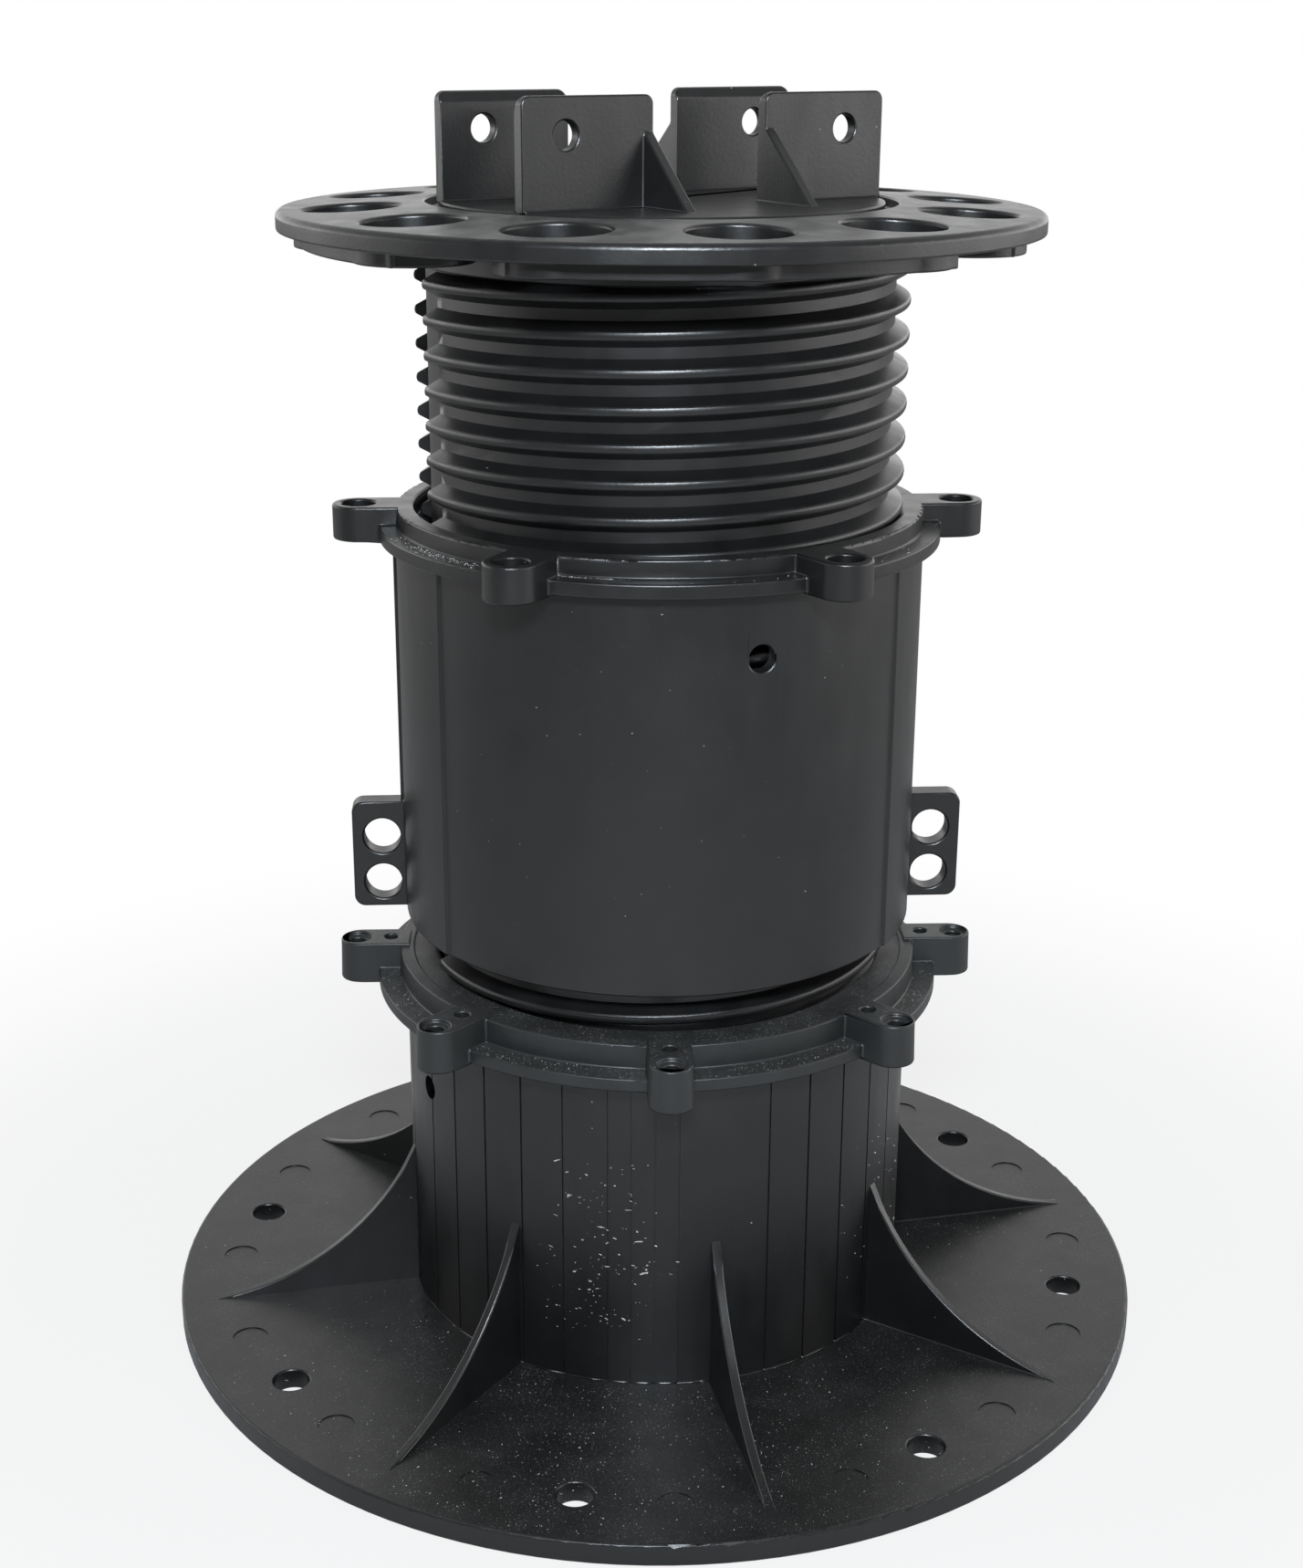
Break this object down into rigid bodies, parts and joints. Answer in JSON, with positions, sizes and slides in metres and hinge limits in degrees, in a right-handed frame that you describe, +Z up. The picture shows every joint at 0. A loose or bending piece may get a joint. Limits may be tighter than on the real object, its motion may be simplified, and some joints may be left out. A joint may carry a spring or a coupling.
{
  "type": "decking pedestal",
  "caption": "Height-adjustable pedestal for decking: finned round foot, ring nut, threaded extender, threaded head plate and swivelling joist cradle.",
  "frame": {"origin": "centre of the foot plate's underside", "axes": "+Z up along the pedestal's axis; -Y towards the side that the picture shows; +X to its right"},
  "size_m": [0.2, 0.2, 0.2425],
  "materials": {
    "black_moulding": "satin black polypropylene",
    "grey_moulding": "matte dark grey polypropylene"
  },
  "bodies": {
    "foot": {"base": "black_moulding"},
    "ring_nut": {"base_collar": "grey_moulding"},
    "extender_tube": {"extender": "black_moulding"},
    "lift": {"cradle_retainer": "black_moulding"},
    "head_plate": {"head": "black_moulding"},
    "joist_cradle": {"cradle": "black_moulding"}
  },
  "joints": [
    {"name": "nut_turn", "type": "hinge", "parent": "foot", "child": "ring_nut", "pos_m": [0, 0, 0.07], "axis": [0, 0, 1], "range_deg": [-1700, 442]},
    {"name": "extender_lift", "type": "slide", "parent": "foot", "child": "extender_tube", "axis": [0, 0, 1], "range_m": [-0.0078, 0.03]},
    {"name": "head_turn", "type": "hinge", "parent": "lift", "child": "head_plate", "pos_m": [0, 0, 0.18], "axis": [0, 0, 1], "range_deg": [-2494, 850]},
    {"name": "head_lift", "type": "slide", "parent": "extender_tube", "child": "lift", "axis": [0, 0, 1], "range_m": [-0.044, 0.015]},
    {"name": "cradle_swivel", "type": "hinge", "parent": "lift", "child": "joist_cradle", "pos_m": [0, 0, 0.2235], "axis": [0, 0, 1], "continuous": true}
  ],
  "couplings": [
    {"joint": "extender_lift", "follows": "nut_turn", "m_per_rad": -0.0010106},
    {"joint": "head_lift", "follows": "head_turn", "m_per_rad": 0.0010106}
  ]
}
